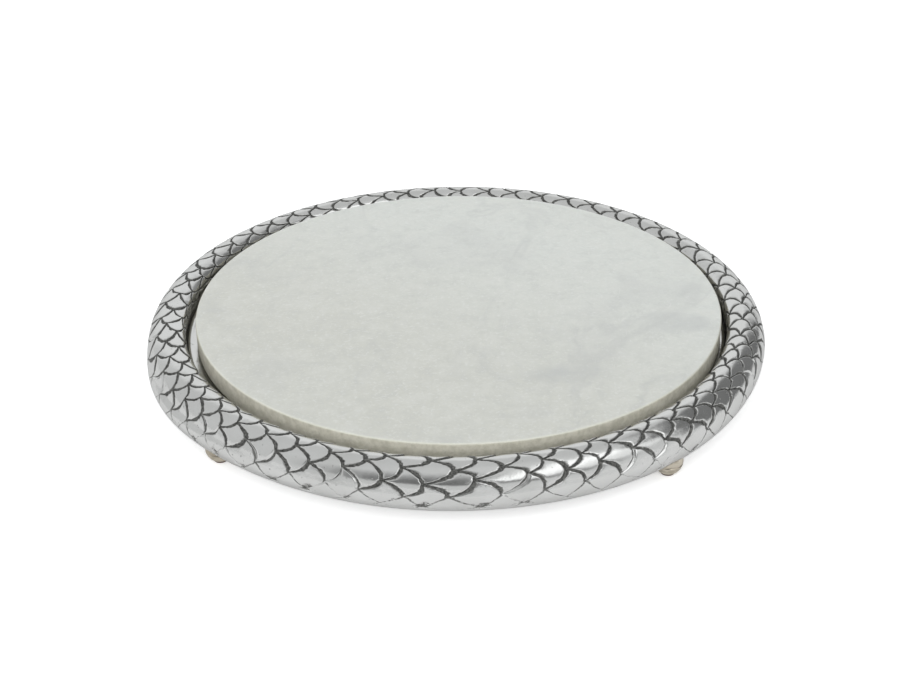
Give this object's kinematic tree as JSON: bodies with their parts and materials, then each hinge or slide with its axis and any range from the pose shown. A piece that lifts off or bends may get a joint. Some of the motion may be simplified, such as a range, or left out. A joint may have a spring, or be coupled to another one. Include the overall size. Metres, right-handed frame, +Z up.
{
  "type": "cheese board",
  "caption": "Round marble slab lying loose in a cast aluminium tray with a rounded fish-scale rim, raised on small ball feet, for serving cheese.",
  "frame": {"origin": "on the table plane, under the centre of the round tray", "axes": "+Z up out of the slab, -Y towards the front, +X to the right; the feet stand on the diagonals"},
  "size_m": [0.359, 0.359, 0.036],
  "materials": {
    "tray_metal": "sand-cast, polished, dark antiquing left in the carved grooves",
    "marble": "honed pale grey-white marble with faint veins",
    "foot_metal": "polished, pale champagne tone",
    "stud_steel": "zinc-plated, threaded",
    "pad_rubber": "soft, matt, brown",
    "clear_bumper": "translucent clear silicone"
  },
  "bodies": {
    "tray": {"tray": "tray_metal", "ball_foot_front_left": "foot_metal", "foot_stud_front_left": "stud_steel", "foot_pad_front_left": "pad_rubber", "ball_foot_front_right": "foot_metal", "foot_stud_front_right": "stud_steel", "foot_pad_front_right": "pad_rubber", "ball_foot_rear_right": "foot_metal", "foot_stud_rear_right": "stud_steel", "foot_pad_rear_right": "pad_rubber", "ball_foot_rear_left": "foot_metal", "foot_stud_rear_left": "stud_steel", "foot_pad_rear_left": "pad_rubber"},
    "slab": {"marble_slab": "marble", "slab_bumper_front_left": "clear_bumper", "slab_bumper_front_right": "clear_bumper", "slab_bumper_rear_right": "clear_bumper", "slab_bumper_rear_left": "clear_bumper"}
  },
  "joints": [
    {"name": "slab_lift", "type": "slide", "parent": "tray", "child": "slab", "axis": [0, 0, 1], "range_m": [0, 0.06]}
  ]
}
